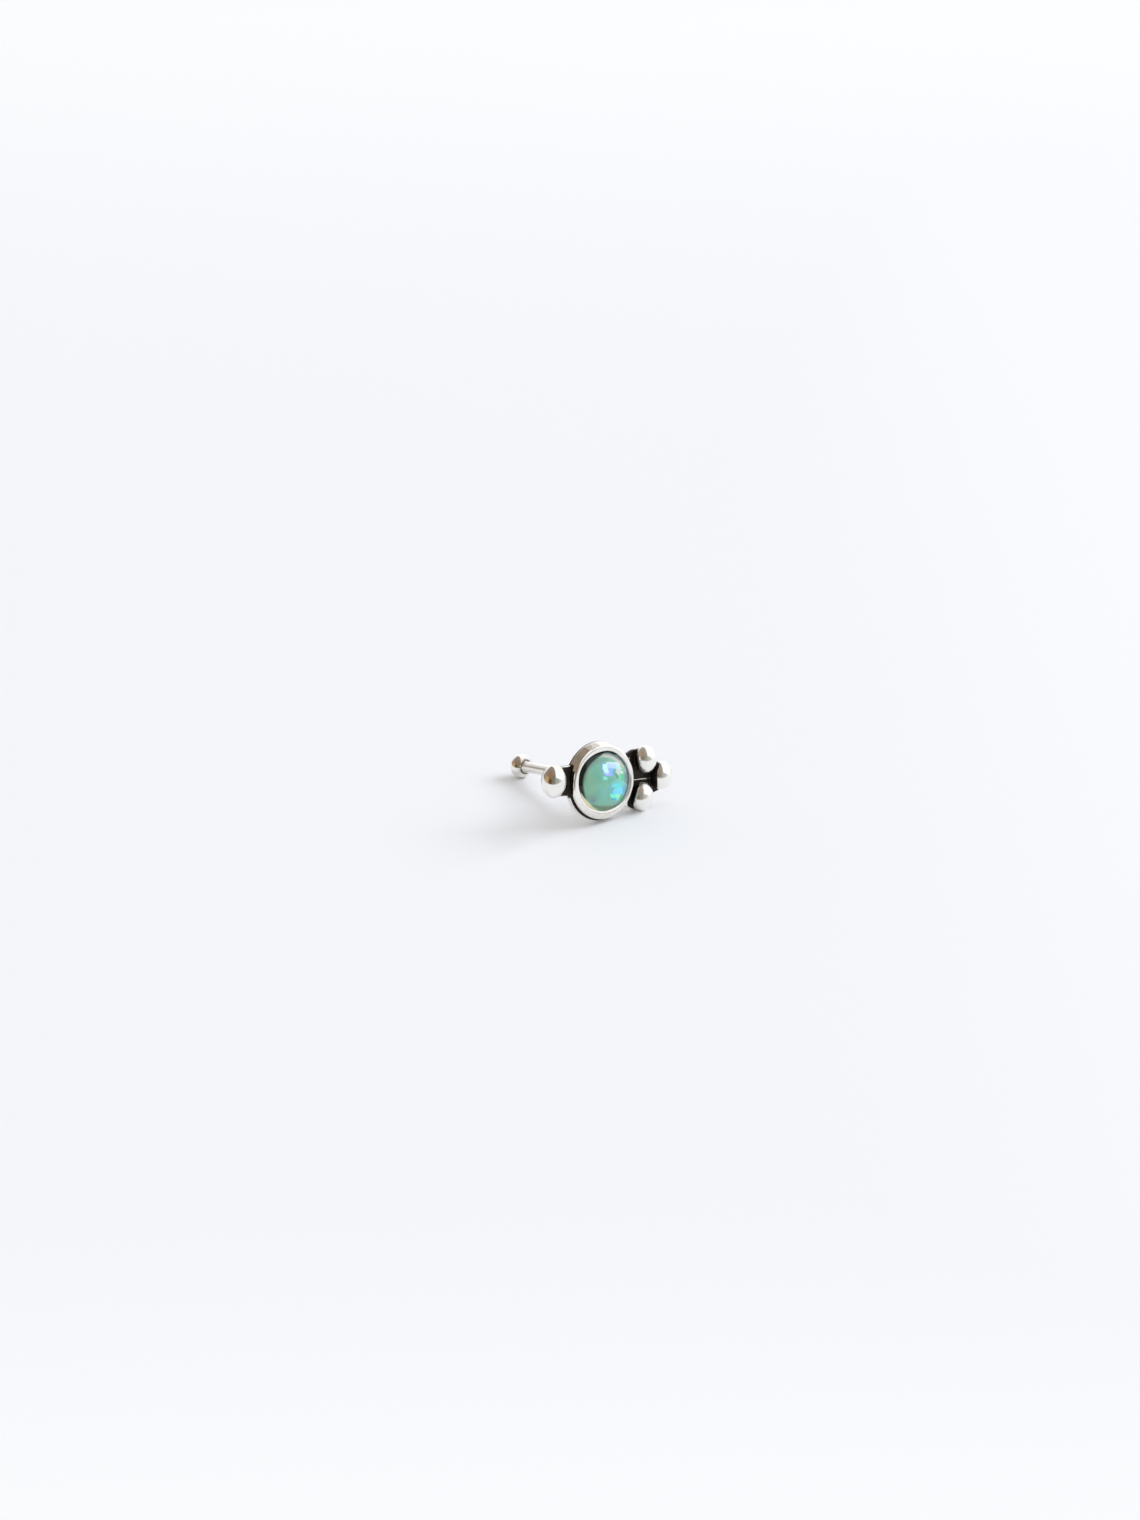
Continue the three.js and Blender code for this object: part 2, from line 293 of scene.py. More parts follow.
def surface_nets(values, low, step):
    s = values < 0
    nx, ny, nz = s.shape
    count = np.zeros((nx - 1, ny - 1, nz - 1), np.int8)
    for a in (0, 1):
        for b in (0, 1):
            for c in (0, 1):
                count += s[a : nx - 1 + a, b : ny - 1 + b, c : nz - 1 + c]
    active = (count > 0) & (count < 8)
    index = np.full(active.shape, -1, np.int64)
    cells = np.argwhere(active)
    index[active] = np.arange(len(cells))
    corner = [(a, b, c) for a in (0, 1) for b in (0, 1) for c in (0, 1)]
    total = np.zeros((len(cells), 3))
    hits = np.zeros(len(cells))
    for i, a in enumerate(corner):
        for b in corner[i + 1 :]:
            if sum(abs(x - y) for x, y in zip(a, b)) != 1:
                continue
            fa = values[cells[:, 0] + a[0], cells[:, 1] + a[1], cells[:, 2] + a[2]]
            fb = values[cells[:, 0] + b[0], cells[:, 1] + b[1], cells[:, 2] + b[2]]
            cross = (fa < 0) != (fb < 0)
            t = np.where(cross, fa / np.where(cross, fa - fb, 1), 0)
            pt = np.array(a) + t[:, None] * (np.array(b) - np.array(a))
            total += np.where(cross[:, None], pt, 0)
            hits += cross
    verts = low + (cells + total / hits[:, None]) * step
    quads = []
    for axis in range(3):
        o1, o2 = [(1, 2), (2, 0), (0, 1)][axis]
        here = [slice(1, n - 1) for n in (nx, ny, nz)]
        there = list(here)
        here[axis], there[axis] = slice(0, (nx, ny, nz)[axis] - 1), slice(1, (nx, ny, nz)[axis])
        a, b = s[tuple(here)], s[tuple(there)]
        at = np.argwhere(a != b)
        inside = a[a != b]
        base = at.copy()
        for k in (o1, o2):
            base[:, k] += 1

        def cell(d1, d2):
            q = base.copy()
            q[:, o1] += d1
            q[:, o2] += d2
            return index[q[:, 0], q[:, 1], q[:, 2]]

        quad = np.stack([cell(-1, -1), cell(0, -1), cell(0, 0), cell(-1, 0)], 1)
        quad[~inside] = quad[~inside][:, ::-1]
        quads.append(quad)
    return verts, np.concatenate(quads)


def make_mesh(name, verts, faces, normals=None):
    """A mesh object from points in the stud's own axes (mm), placed in the row frame."""
    me = bpy.data.meshes.new(name)
    verts = (ORIGIN + np.asarray(verts, float) @ AXES.T) * MM
    if isinstance(faces, np.ndarray):
        me.vertices.add(len(verts))
        me.vertices.foreach_set("co", verts.astype(np.float32).ravel())
        me.loops.add(faces.size)
        me.loops.foreach_set("vertex_index", faces.astype(np.int32).ravel())
        me.polygons.add(len(faces))
        me.polygons.foreach_set("loop_start", np.arange(0, faces.size, faces.shape[1], dtype=np.int32))
        me.update(calc_edges=True)
        me.validate()
    else:
        me.from_pydata([tuple(v) for v in verts], [], [tuple(f) for f in faces])
        me.update()
    me.shade_smooth()
    if normals is not None:
        me.normals_split_custom_set_from_vertices([tuple(n) for n in np.asarray(normals) @ AXES.T])
    obj = bpy.data.objects.new(name, me)
    bpy.context.scene.collection.objects.link(obj)
    return obj


def point_value(obj, name, values):
    a = obj.data.attributes.new(name, "FLOAT", "POINT")
    a.data.foreach_set("value", np.asarray(values, np.float32))


def point_colour(obj, name, values):
    a = obj.data.attributes.new(name, "FLOAT_COLOR", "POINT")
    rgba = np.concatenate([values, np.ones((len(values), 1))], 1)
    a.data.foreach_set("color", rgba.astype(np.float32).ravel())


# ------------------------------------------------------------------------------------------------
# the soldered front
# ------------------------------------------------------------------------------------------------
STEP = 0.034
low = np.array([-3.50, -2.06, -0.12])
high = np.array([4.20, 2.06, 1.10])
shape = np.ceil((high - low) / STEP).astype(int) + 1
axes_ = [low[i] + STEP * np.arange(shape[i]) for i in range(3)]
grid = np.stack(np.meshgrid(*axes_, indexing="ij"), -1).reshape(-1, 3)
values = np.concatenate([silver(c) for c in np.array_split(grid, 12)]).reshape(shape)
verts, quads = surface_nets(values, low, STEP)
for _ in range(4):
    g = gradient(silver, verts)
    f = silver(verts)
    move = f[:, None] * g / np.maximum((g * g).sum(1), 0.2)[:, None]
    size = np.linalg.norm(move, axis=1)
    verts = verts - move * np.minimum(1, 0.02 / np.maximum(size, 1e-9))[:, None]
normal = gradient(silver, verts)
normal /= np.linalg.norm(normal, axis=1)[:, None]

# how enclosed each point is: 0 on open faces, towards 1 in the crevices
closed = np.zeros(len(verts))
for d, k in ((0.05, 0.2), (0.1, 0.25), (0.18, 0.3), (0.3, 0.25)):
    closed += k * np.clip((d - silver(verts + normal * d)) / d, 0, 1)

u, v, w = verts.T
r = cup_radius(verts)
th = np.arctan2(v, u)
# the sheet's face under the granules
on_sheet = smooth(normal[:, 2], 0.7, 0.95) * (1 - smooth(w, 0.27, 0.33))
outside = smooth(r, 1.80, 1.86)
edge_wear = np.where(u > 0, np.abs(sd_outline(u, v, CLUSTER)), np.abs(sd_outline(u, v, TAB)))
under = ((u > 1.75) & (np.abs(v) < 1.6)) | (u < -1.75)
front_sheet = on_sheet * outside * under * smooth(edge_wear, 0.025, 0.06)
# the groove where the wall meets the round sheet: black below, hardly at the upper left
at = 0.95 * bump_deg(th, 196, 318, 20)
groove = np.clip(at, 0, 1) * (1 - smooth(w, 0.285, 0.33)) * smooth(w, 0.20, 0.24) * smooth(r, 1.77, 1.79) * (1 - smooth(r, 1.862, 1.885)) * smooth(normal[:, 2] + 0.5, 0, 0.5)
# the foot of the wall beside the granules
left_side = bump_deg(th, 154, 203, 14)
right_side = bump_deg(th, -42, 43, 10)
foot = np.maximum(left_side * (1 - smooth(w, 0.30, 0.46)), right_side * (1 - smooth(w, 0.36, 0.46))) * smooth(r, 1.70, 1.75) * (1 - smooth(r, 1.96, 2.0)) * smooth(w, 0.03, 0.10)
# inside the lip: painted shade, black at the left and top and in the cup under the stone, bright at the lower left and
# right
shaded_arc = np.clip(bump_deg(th, 88, 206, 18) + 0.8 * bump_deg(th, 58, 74, 12), 0, 1)
shade_under_lip = np.maximum.reduce([shaded_arc * (1 - smooth(r - lip_shift(th), 1.42, 1.45)) * (1 - smooth(w, 0.555, 0.585)), (w > 0.2) * (r < 1.66) * (w < 0.47) * (normal[:, 2] < 0.3) * 1.0, (w > 0.2) * (r < 1.5) * (w < 0.3) * 1.0])
# painted shade and dark reflection on each granule's side that faces the wall and the sheet
shaded_sides = np.zeros(len(verts))
for g, lo, hi in zip(GRANULES, (0.86, 0.55, 0.40, 0.20), (1.0, 0.80, 0.62, 0.42)):
    q = in_granule(verts, g)
    near = 1 - smooth(np.linalg.norm(q, axis=1), 1.04, 1.12)
    t = math.radians(g[6])
    away = np.array([g[0], g[1], 0.0]) / math.hypot(g[0], g[1])
    own = np.array([away[0] * math.cos(t) + away[1] * math.sin(t), away[1] * math.cos(t) - away[0] * math.sin(t), 0.0])
    d = -0.78 * own + np.array([0, 0, -0.62])
    shaded_sides = np.maximum(shaded_sides, near * smooth(q @ d, lo, hi))
# real black oxide in the hollows, on the sheet and in the groove, together with painted shade under the lip and on the
# granules' sides
patina_and_shade = np.maximum.reduce([front_sheet, groove, foot, shade_under_lip, shaded_sides, smooth(closed, 0.18, 0.36)])
# the lip's inner edge is polished; the painted shade stays at its left and top
patina_and_shade *= 1 - (1 - shaded_arc) * (r < 1.62) * smooth(w, 0.33, 0.37)
# a worn film on the wall, above, at the left
corner_ = smooth(u, 1.25, 1.45) * (1 - smooth(u, 2.1, 2.5)) * smooth(v, 1.0, 1.15) * smooth(r, 1.84, 1.90) * (1 - smooth(w, 0.27, 0.33))
patina_and_shade = np.maximum(patina_and_shade, 0.85 * corner_ * smooth(w, 0.0, 0.05))
film_ = bump_deg(th, 108, 121, 8) * smooth(r, 1.715, 1.76) * smooth(w, 0.08, 0.16)
patina_and_shade = np.maximum(patina_and_shade, 0.43 * film_)
ax, ay, bx, by = SEAM
t = np.clip(((u - ax) * (bx - ax) + (v - ay) * (by - ay)) / ((bx - ax) ** 2 + (by - ay) ** 2), 0, 1)
on_seam = 1 - smooth(np.hypot(u - ax - t * (bx - ax), v - ay - t * (by - ay)), 0.018, 0.038)
patina_and_shade *= 1 - 0.62 * on_seam * smooth(w, 0.23, 0.25)
patina_and_shade = np.clip(patina_and_shade, 0, 1) * smooth(w, 0.0, 0.05)  # the flat back stays bright
# thin dark line along the outer edge of the sheet
edge_line = smooth(r, 1.86, 1.89) * smooth(w, 0.02, 0.05) * (1 - smooth(w, 0.09, 0.17)) * bump_deg(th, 70, 185, 40)
patina_and_shade = np.maximum(patina_and_shade, 0.8 * edge_line)
wall_band = bump_deg(th, 84, 176, 30) * smooth(r, 1.72, 1.80) * smooth(w, 0.08, 0.16)
# real tarnish in the hollows, on the seam and on the wall; painted shade on the granules' lower sides is added below
tarnish_and_shade = np.clip(smooth(closed, 0.02, 0.2) + 0.8 * edge_line + 0.4 * on_seam + 0.25 * wall_band + film_ + bump_deg(th, 102, 112, 8) * smooth(r, 1.715, 1.76), 0, 1)
lip_top = smooth(w, 0.40, 0.55) * (1 - smooth(r, 1.85, 1.95))
tarnish_and_shade = np.maximum(tarnish_and_shade, (0.14 + 0.30 * bump_deg(th, 225, 300, 40)) * lip_top)
for g in GRANULES:  # painted shade: the granules are duller and darker where they meet the sheet, below
    q = in_granule(verts, g)
    near = 1 - smooth(np.linalg.norm(q, axis=1), 1.04, 1.12)
    tarnish_and_shade = np.maximum(tarnish_and_shade, 0.8 * near * smooth(q @ np.array([0.1, -0.80, -0.59]), 0.82, 0.97))

satin = np.zeros(len(verts))
for g, amount_ in zip(GRANULES, (0.05, 0.55, 0.55, 0.55)):
    satin = np.maximum(satin, amount_ * (1 - smooth(np.linalg.norm(in_granule(verts, g), axis=1), 1.03, 1.2)))
# the lip's inner side, where the tool pressed it down, is frosted
inner_side = (1 - shaded_arc) * (1 - smooth(r, 1.56, 1.60)) * (1 - smooth(normal[:, 2], 0.45, 0.85)) * smooth(w, 0.33, 0.37)
satin = np.maximum(satin, 2.0 * inner_side)

front = make_mesh("silver_front", verts, quads, normal)
point_value(front, "patina_and_shade", patina_and_shade)
point_value(front, "tarnish_and_shade", tarnish_and_shade)
point_value(front, "satin", satin)


# ------------------------------------------------------------------------------------------------
# post, solder collar and ball end, turned as one
# ------------------------------------------------------------------------------------------------
def turned(profile, segments):
    """A solid of revolution about w. The profile's first and last points lie on the axis."""
    profile = np.asarray(profile, float)
    a = np.linspace(0, 2 * math.pi, segments, endpoint=False)
    rings = profile[1:-1]
    pts = [np.array([[0, 0, profile[0, 1]]])]
    for rr, ww in rings:
        pts.append(np.stack([rr * np.cos(a), rr * np.sin(a), np.full(segments, ww)], 1))
    pts.append(np.array([[0, 0, profile[-1, 1]]]))
    pts = np.concatenate(pts)
    faces = []
    n = segments
    for i in range(n):
        j = (i + 1) % n
        faces.append((0, 1 + j, 1 + i))
        for k in range(len(rings) - 1):
            b, c = 1 + k * n, 1 + (k + 1) * n
            faces.append((b + i, b + j, c + j, c + i))
        b = 1 + (len(rings) - 1) * n
        faces.append((b + i, b + j, len(pts) - 1))
    return pts, faces


neck = BALL_HALF * math.sqrt(1 - (POST_R / BALL_R) ** 2)
prof = []
for i in range(49):
    t = -math.pi / 2 + (math.asin(neck / BALL_HALF) - 0.07 + math.pi / 2) * i / 48
    prof.append((0.0 if i == 0 else BALL_R * math.cos(t), -POST_L + BALL_HALF * math.sin(t)))
r0, w0 = prof[-1]
for i in range(1, 9):  # solder fillet between ball and post
    t = i / 8
    prof.append(((1 - t) ** 2 * r0 + 2 * t * (1 - t) * (POST_R + 0.004) + t * t * POST_R, w0 + 0.11 * t))
start = prof[-1][1]
for i in range(1, 41):
    prof.append((POST_R, start + (-0.22 - start) * i / 40))
for i in range(1, 17):  # solder collar that flows out on to the sheet
    t = i / 16
    prof.append(((1 - t) ** 2 * POST_R + 2 * t * (1 - t) * (POST_R + 0.01) + t * t * (POST_R + 0.19), -0.22 * (1 - t) ** 2 + 0.004 * t))
prof.append((POST_R + 0.17, 0.05))
prof.append((0.0, 0.05))
pv, pf = turned(prof, 96)
# a hand-drawn wire and a hand-melted ball aren't perfectly true
pa = np.arctan2(pv[:, 1], pv[:, 0])
pr = np.hypot(pv[:, 0], pv[:, 1])
fade = smooth(-pv[:, 2], 0.0, 0.5)
k = 1 + 0.008 * fade * waviness(pv, 1.6, 0, 5) * smooth(pr, 0.05, 0.25)
collar = 1 - smooth(-pv[:, 2], 0.0, 0.22)
k = k + collar * smooth(pr, 0.30, 0.40) * (0.05 * np.sin(2 * pa + 0.7) + 0.03 * np.sin(5 * pa))
pv = pv * np.stack([k, k, np.ones(len(pv))], 1)
post = make_mesh("silver_post", pv, pf)
joint = np.exp(-(((pv[:, 2] + POST_L - neck - 0.02) / 0.07) ** 2)) * (1 - smooth(pr, 0.34, 0.42))
on_ball = 1 - smooth(pv[:, 2], -POST_L + neck - 0.02, -POST_L + neck + 0.05)
blotch = np.clip(0.75 + 0.30 * waviness(pv, 0.55, 2, 6), 0.3, 1)
scale_ = on_ball * (1 - smooth(pr, 0.30, 0.60)) * smooth(pv[:, 2], -POST_L - 0.06, -POST_L + 0.20) * blotch
dirt = np.clip(collar * smooth(pr, 0.33, 0.42) * 0.55 + 0.16 * joint * blotch + 0.50 * scale_, 0, 1)
point_value(post, "patina_and_shade", dirt)
point_value(post, "tarnish_and_shade", np.clip(dirt * 1.5 + 0.1, 0, 1))
point_value(post, "satin", 0.7 - 0.6 * on_ball)


# ------------------------------------------------------------------------------------------------
# the opal
# ------------------------------------------------------------------------------------------------
SEG = 420
RINGS = 130
curve = (DOME_R**2 + (DOME_APEX - DOME_START) ** 2) / (2 * (DOME_APEX - DOME_START))
sprof = [(0.0, DOME_APEX)]
for i in range(1, RINGS + 1):
    a = math.asin(1.462 / curve) * i / RINGS
    sprof.append((curve * math.sin(a), DOME_APEX - curve * (1 - math.cos(a))))
sprof += [(1.485, 0.428), (1.505, 0.412), (1.517, 0.393), (1.52, 0.37), (1.52, 0.3), (1.512, 0.278), (1.49, 0.27), (0.7, 0.27), (0.0, 0.27)]
sv, sf = turned(sprof[::-1], SEG)
sr = np.hypot(sv[:, 0], sv[:, 1])
st = np.arctan2(sv[:, 1], sv[:, 0])
# the stone is as little round as the lip's opening, and reaches under it all round
wider = sr + smooth(sr, 1.22, 1.46) * np.clip(lip_shift(st), 0, 0.1) * 0.9
wider = np.minimum(wider, np.maximum(sr, 1.545))
sv[:, 2] -= np.where(sv[:, 2] > 0.39, np.sqrt(curve**2 - sr**2) - np.sqrt(curve**2 - wider**2), 0)
sv[:, :2] *= (wider / np.maximum(sr, 1e-9))[:, None]
sr = wider
sv[:, 0] *= 1 + OVAL * smooth(OVAL_OUT - sr, 0, OVAL_OUT - OVAL_IN)
stone = make_mesh("opal_cabochon", sv, sf)

# patches of colour in the stone: outline in u, v; softness of the edge; colour; strength
PATCHES = [
    # broad yellower green, left of the middle
    ([(-1.14, 0.42), (-0.88, 0.52), (-0.72, 0.15), (-0.69, -0.33), (-0.86, -0.63), (-1.10, -0.44)], 0.22, (0.27, 0.53, 0.35), 0.75),
    # teal green, upper middle
    ([(-0.83, 0.84), (-0.46, 0.89), (-0.49, 0.34), (-0.85, 0.38)], 0.16, (0.17, 0.47, 0.33), 0.75),
    # bluer teal, lower middle
    ([(-0.52, -0.19), (-0.06, -0.20), (0.03, -0.84), (-0.29, -0.98)], 0.2, (0.22, 0.55, 0.48), 0.8),
    # grey green beside the dark rim
    ([(-1.22, 0.14), (-1.12, 0.61), (-0.86, 0.93), (-0.44, 1.14), (0.10, 1.17), (0.05, 1.04), (-0.39, 0.98), (-0.81, 0.75), (-1.06, 0.42), (-1.14, -0.05)], 0.09, (0.21, 0.30, 0.25), 0.7),
    # grey patch, lower left
    ([(-1.07, -0.63), (-0.65, -0.58), (-0.53, -0.88), (-0.78, -0.93)], 0.12, (0.25, 0.35, 0.30), 0.7),
    # mauve patch
    ([(-0.80, -0.80), (-0.60, -0.77), (-0.53, -0.93), (-0.72, -0.98)], 0.06, (0.22, 0.29, 0.45), 0.75),
    # green, middle
    ([(-0.08, 0.23), (0.40, 0.26), (0.22, -0.06), (-0.07, -0.05)], 0.1, (0.14, 0.47, 0.34), 0.7),
    # soft blue border
    ([(-0.38, 0.96), (-0.21, 1.00), (-0.24, 0.61), (-0.02, 0.30), (-0.24, 0.28), (-0.42, 0.57)], 0.05, (0.16, 0.39, 0.51), 0.85),
    # pale top
    ([(-0.08, 0.96), (0.67, 0.94), (0.86, 0.79), (0.61, 0.76), (-0.11, 0.86)], 0.04, (0.69, 0.82, 0.87), 0.9),
    # light blue
    ([(-0.08, 0.88), (0.53, 0.86), (0.45, 0.66), (-0.04, 0.67)], 0.035, (0.48, 0.70, 1.00), 0.95),
    # mid blue
    ([(0.02, 0.68), (0.31, 0.67), (0.21, 0.31), (-0.05, 0.33)], 0.035, (0.24, 0.51, 0.85), 0.95),
    # periwinkle
    ([(-0.07, 0.69), (0.07, 0.69), (0.08, 0.33), (-0.15, 0.32), (-0.34, 0.46), (-0.22, 0.54)], 0.03, (0.39, 0.49, 0.97), 0.95),
    # white cyan
    ([(-0.28, 0.88), (-0.04, 0.87), (-0.05, 0.70), (-0.01, 0.48), (-0.12, 0.44), (-0.28, 0.52), (-0.33, 0.70)], 0.035, (0.58, 0.96, 1.00), 1),
    # blue shade
    ([(0.25, 0.64), (0.41, 0.63), (0.28, 0.31), (0.19, 0.32)], 0.04, (0.14, 0.37, 0.55), 0.7),
    # mint white
    ([(0.49, 0.84), (0.74, 0.80), (0.89, 0.60), (0.68, 0.55), (0.47, 0.63)], 0.05, (0.56, 0.81, 0.76), 0.85),
    # grey white patch
    ([(0.41, 0.63), (0.72, 0.59), (0.77, 0.42), (0.58, 0.32), (0.43, 0.42)], 0.045, (0.60, 0.69, 0.69), 0.9),
    # bright mint
    ([(0.73, 0.53), (0.95, 0.49), (0.93, 0.40), (0.72, 0.43)], 0.025, (0.67, 0.87, 0.67), 0.85),
    # dark green spot
    ([(0.32, 0.43), (0.45, 0.45), (0.58, 0.27), (0.56, 0.16), (0.40, 0.21)], 0.035, (0.11, 0.31, 0.23), 0.85),
    # mint, left of the strip
    ([(0.59, 0.37), (0.75, 0.36), (0.72, 0.07), (0.59, 0.11)], 0.04, (0.25, 0.66, 0.46), 0.85),
    # green strip
    ([(0.73, 0.38), (0.99, 0.34), (0.99, 0.08), (0.89, 0.01), (0.73, 0.05)], 0.045, (0.10, 0.58, 0.30), 0.95),
    # aqua dot
    ([(-0.34, 0.31), (-0.18, 0.32), (-0.10, 0.22), (-0.15, 0.14), (-0.35, 0.15)], 0.035, (0.29, 0.84, 0.66), 0.95),
    # soft cyan above
    ([(0.13, 0.01), (0.40, 0.09), (1.01, 0.01), (1.06, -0.27), (0.14, -0.20)], 0.09, (0.18, 0.62, 0.63), 0.85),
    # left of the large flash
    ([(0.00, -0.13), (0.19, -0.11), (0.27, -0.55), (0.11, -0.54)], 0.06, (0.15, 0.51, 0.63), 0.85),
    # turquoise
    ([(0.38, -0.04), (0.73, -0.06), (0.81, -0.37), (0.36, -0.36)], 0.05, (0.13, 0.76, 0.67), 0.95),
    # light cyan spot
    ([(0.14, -0.10), (0.41, -0.08), (0.44, -0.19), (0.17, -0.23)], 0.03, (0.21, 0.75, 0.85), 0.9),
    # sky blue
    ([(0.39, -0.29), (0.96, -0.26), (1.10, -0.63), (0.27, -0.58), (0.27, -0.40)], 0.05, (0.20, 0.72, 1.00), 0.95),
    # blue right edge
    ([(0.91, -0.09), (1.16, -0.18), (1.30, -0.59), (1.07, -0.62)], 0.05, (0.16, 0.49, 0.67), 0.75),
    # aqua
    ([(0.12, -0.56), (0.55, -0.57), (0.60, -0.74), (0.31, -0.77), (0.16, -0.69)], 0.03, (0.17, 0.96, 0.72), 1),
    # mint
    ([(0.49, -0.56), (0.83, -0.59), (0.88, -0.75), (0.55, -0.70)], 0.03, (0.27, 1.00, 0.62), 0.95),
    # yellow green
    ([(0.54, -0.67), (0.84, -0.69), (0.89, -0.83), (0.68, -0.82)], 0.025, (0.41, 0.92, 0.53), 0.95),
    # blue below
    ([(0.27, -0.75), (0.60, -0.77), (0.66, -0.89), (0.33, -0.86)], 0.03, (0.12, 0.47, 0.78), 0.95),
    # dark teal spot
    ([(0.31, -0.78), (0.41, -0.79), (0.43, -0.85), (0.33, -0.84)], 0.015, (0.06, 0.26, 0.40), 0.7),
    # turquoise point
    ([(0.60, -0.78), (0.80, -0.81), (0.82, -0.91), (0.65, -0.90)], 0.025, (0.14, 0.92, 0.76), 0.9),
    # deep green, right
    ([(0.84, -0.72), (1.02, -0.73), (1.09, -0.92), (0.88, -0.91)], 0.035, (0.06, 0.51, 0.24), 0.85),
    # grey blue below
    ([(0.31, -0.93), (1.01, -0.95), (0.93, -1.09), (0.37, -1.06)], 0.06, (0.22, 0.45, 0.51), 0.75),
    # grey teal band
    ([(1.03, 0.47), (1.56, 0.40), (1.66, -0.18), (1.30, -0.20), (1.05, 0.02)], 0.05, (0.19, 0.30, 0.30), 0.85),
    # lavender band
    ([(1.21, 0.80), (1.51, 0.79), (1.59, 0.40), (1.13, 0.44)], 0.05, (0.45, 0.42, 0.54), 0.85),
    # light grey cyan band
    ([(1.16, -0.13), (1.66, -0.18), (1.63, -0.61), (1.32, -0.55)], 0.05, (0.30, 0.50, 0.54), 0.85),
    # grey lavender band, low
    ([(1.17, -0.58), (1.62, -0.59), (1.45, -0.89), (1.18, -0.98)], 0.05, (0.35, 0.45, 0.51), 0.8),
    # grey above the arc
    ([(-0.01, 1.43), (0.47, 1.39), (0.83, 1.22), (1.09, 1.04), (1.34, 0.79), (1.12, 0.75), (0.84, 0.95), (0.60, 1.11), (0.32, 1.25), (-0.06, 1.32)], 0.03, (0.23, 0.26, 0.27), 0.85),
    # pale arc, a painted reflection
    ([(-0.28, 1.31), (0.05, 1.31), (0.32, 1.24), (0.60, 1.11), (0.84, 0.94), (1.08, 0.75), (0.98, 0.64), (0.84, 0.78), (0.62, 0.94), (0.40, 1.08), (0.16, 1.17), (-0.11, 1.21), (-0.31, 1.21)], 0.018, (0.59, 0.54, 0.47), 0.9),
    # tan line, lower left
    ([(-1.11, -0.74), (-0.94, -0.89), (-0.72, -1.06), (-0.72, -1.11), (-0.94, -0.95), (-1.11, -0.80)], 0.02, (0.51, 0.29, 0.14), 0.8),
    # olive edge
    ([(-0.65, -1.05), (-0.23, -1.14), (0.36, -1.16), (1.10, -1.09), (0.94, -1.28), (0.37, -1.37), (-0.13, -1.35), (-0.55, -1.18)], 0.07, (0.16, 0.21, 0.12), 0.8),
]
# the pale line along the stone's lower left edge
EDGE_GLINT = [
    (rr * math.cos(math.radians(aa)), rr * math.sin(math.radians(aa)))
    for aa, rr in (
        (192, 1.44), (200, 1.36), (208, 1.315), (218, 1.29), (229, 1.28), (240, 1.295), (250, 1.33), (260, 1.37), (270, 1.44),
        (262, 1.48), (245, 1.48), (228, 1.48), (210, 1.48), (198, 1.48),
    )
]
PATCHES.append((EDGE_GLINT, 0.04, (1.0, 0.92, 0.60), 0.95))
su, sw = sv[:, 0], sv[:, 1]
up_side = sv[:, 2] > 0.35
colour = np.zeros((len(sv), 3))
amount = np.zeros(len(sv))
wu = sr * np.cos(st) + 0.010 * waviness(sv, 0.30, 0, 4)
wv = sr * np.sin(st) + 0.010 * waviness(sv, 0.27, 4, 4)
for outline, soft, rgb, strength in PATCHES:
    pts = np.array(outline)
    m = (1 - smooth(sd_outline(wu, wv, pts), -soft, soft)) * strength * up_side
    colour = colour * (1 - m[:, None]) + np.array(rgb) * m[:, None]
    amount = amount + m - amount * m
colour = np.where(amount[:, None] > 1e-3, colour / np.maximum(amount[:, None], 1e-3), 0)
point_colour(stone, "flash", np.clip(colour, 0, 1))
point_value(stone, "flash_amount", np.clip(amount, 0, 1))
# painted shade: the dark rim where the stone dips under the lip, at the left and the top
rim_at = np.interp(
    np.degrees(st) % 360,
    [40, 58, 66, 76, 84, 92, 100, 120, 150, 180, 200, 215, 228, 236],
    [1.65, 1.5, 1.43, 1.40, 1.40, 1.36, 1.29, 1.22, 1.21, 1.21, 1.21, 1.25, 1.31, 1.65],
)
glint = 1 - smooth(sd_outline(wu, wv, np.array(EDGE_GLINT)), -0.02, 0.03)
point_value(stone, "rim_shade", smooth(sr, rim_at - 0.06, rim_at + 0.05) * (1 - glint) * up_side)


# ------------------------------------------------------------------------------------------------
# materials
# ------------------------------------------------------------------------------------------------
def material(name):
    m = bpy.data.materials.new(name)
    m.use_nodes = True
    tree = m.node_tree
    return m, tree, tree.nodes["Principled BSDF"]


def math_node(tree, op, a, b=None, c=None, clamp=False):
    n = tree.nodes.new("ShaderNodeMath")
    n.operation = op
    n.use_clamp = clamp
    for i, x in enumerate((a, b, c)):
        if x is None:
            continue
        if isinstance(x, (int, float)):
            n.inputs[i].default_value = x
        else:
            tree.links.new(x, n.inputs[i])
    return n.outputs[0]


def dot_node(tree, vector, d):
    n = tree.nodes.new("ShaderNodeVectorMath")
    n.operation = "DOT_PRODUCT"
    tree.links.new(vector, n.inputs[0])
    d = Vector(d).normalized()
    n.inputs[1].default_value = d
    return n.outputs["Value"]


def mix_colour(tree, f, a, b):
    n = tree.nodes.new("ShaderNodeMix")
    n.data_type = "RGBA"
    n.clamp_factor = True
    for sock, x in ((n.inputs[0], f), (n.inputs[6], a), (n.inputs[7], b)):
        if isinstance(x, (int, float)):
            sock.default_value = x
        elif isinstance(x, tuple):
            sock.default_value = (*x, 1.0)
        else:
            tree.links.new(x, sock)
    return n.outputs[2]


def ramp(tree, x, lo, hi, to_lo=0.0, to_hi=1.0):
    n = tree.nodes.new("ShaderNodeMapRange")
    n.interpolation_type = "SMOOTHSTEP"
    tree.links.new(x, n.inputs[0])
    for i, val in enumerate((lo, hi, to_lo, to_hi)):
        n.inputs[i + 1].default_value = val
    return n.outputs[0]


